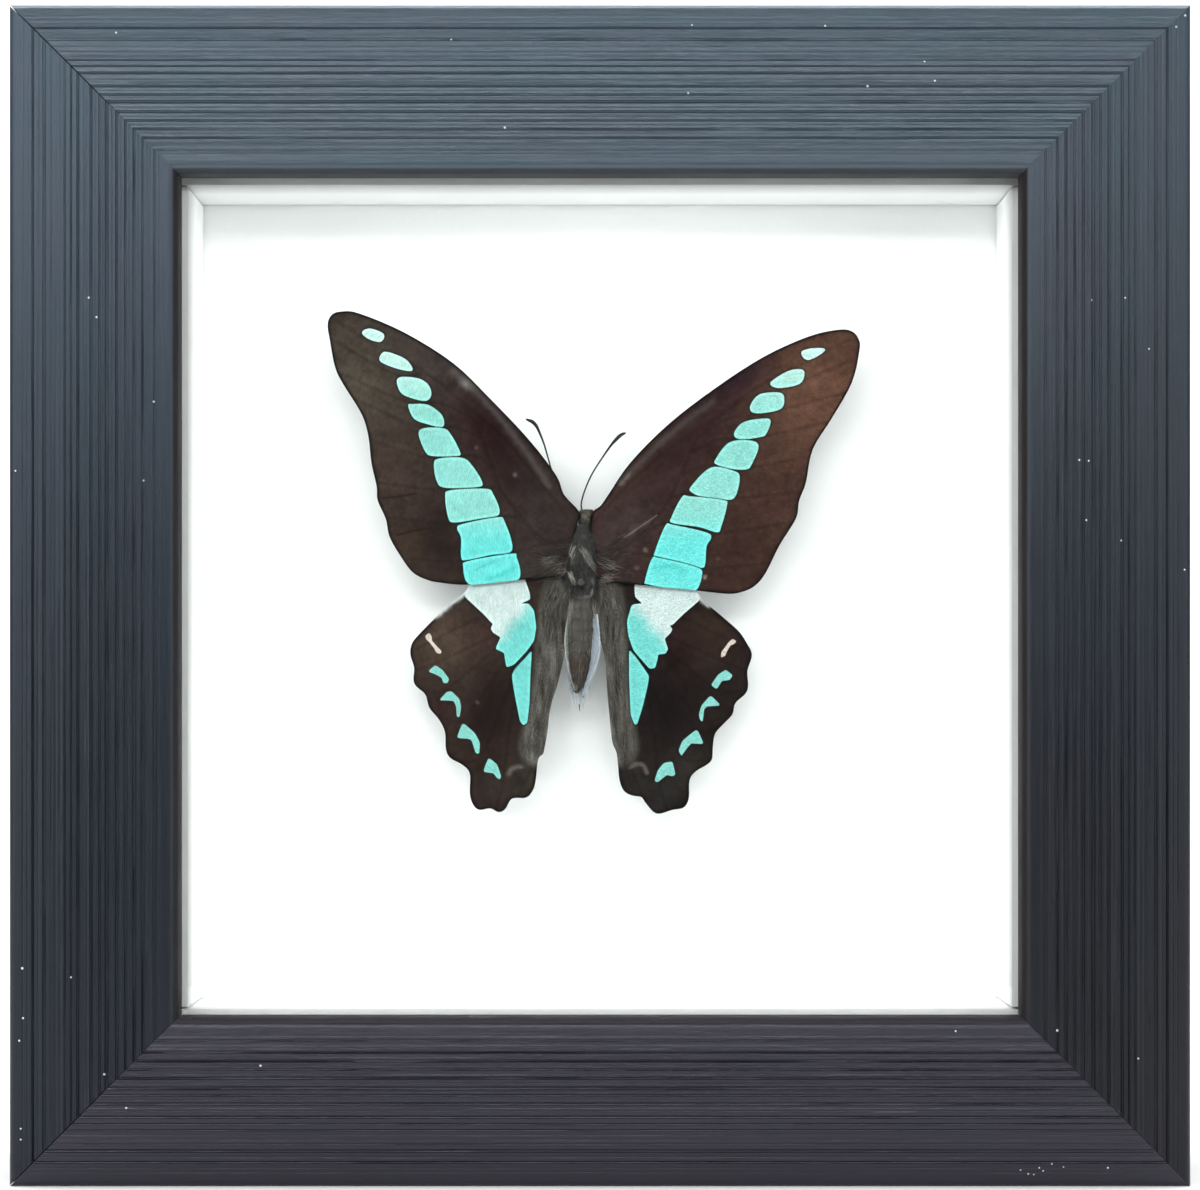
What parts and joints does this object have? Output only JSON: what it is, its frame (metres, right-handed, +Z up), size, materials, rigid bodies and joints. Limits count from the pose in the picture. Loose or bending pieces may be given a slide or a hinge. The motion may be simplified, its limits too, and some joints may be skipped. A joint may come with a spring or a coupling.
{
  "type": "framed butterfly specimen",
  "caption": "Spread swallowtail butterfly with an aqua band, pinned to white board in a deep, square, dark grooved frame behind glass.",
  "frame": {"origin": "on the ground under the middle of the object's box, where the frame stands on its bottom rail", "axes": "+Z up, -Y the way the glass faces, +X to the right seen from the front"},
  "size_m": [0.152, 0.0364, 0.152],
  "materials": {
    "moulding": "satin dark slate paint over a combed hardwood moulding",
    "glass": "clear, polished",
    "spacer": "matt white foamed board",
    "mount_board": "matt white paper-faced foam board",
    "back_board": "brown hardboard, smooth side out",
    "tab_steel": "thin bright steel strip",
    "hanger_steel": "yellow-passivated pressed steel",
    "rubber": "soft black rubber",
    "pin": "black enamelled insect pin",
    "body": "dry insect body with grey down",
    "wing": "dark brown scales with an aqua band",
    "antenna": "black, dry"
  },
  "bodies": {
    "root": {"rail_top": "moulding", "rail_bottom": "moulding", "rail_left": "moulding", "rail_right": "moulding", "glass_pane": "glass", "spacer_top": "spacer", "spacer_bottom": "spacer", "spacer_left": "spacer", "spacer_right": "spacer", "mount_board": "mount_board", "back_board": "back_board", "retainer_tab_1": "tab_steel", "retainer_tab_2": "tab_steel", "retainer_tab_3": "tab_steel", "retainer_tab_4": "tab_steel", "retainer_tab_5": "tab_steel", "retainer_tab_6": "tab_steel", "retainer_tab_7": "tab_steel", "retainer_tab_8": "tab_steel", "sawtooth_hanger": "hanger_steel", "hanger_nail_left": "hanger_steel", "hanger_nail_right": "hanger_steel", "bumper_left": "rubber", "bumper_right": "rubber", "insect_pin": "pin", "butterfly_body": "body", "forewing_left": "wing", "forewing_right": "wing", "hindwing_left": "wing", "hindwing_right": "wing", "antenna_left": "antenna", "antenna_right": "antenna"}
  },
  "joints": []
}
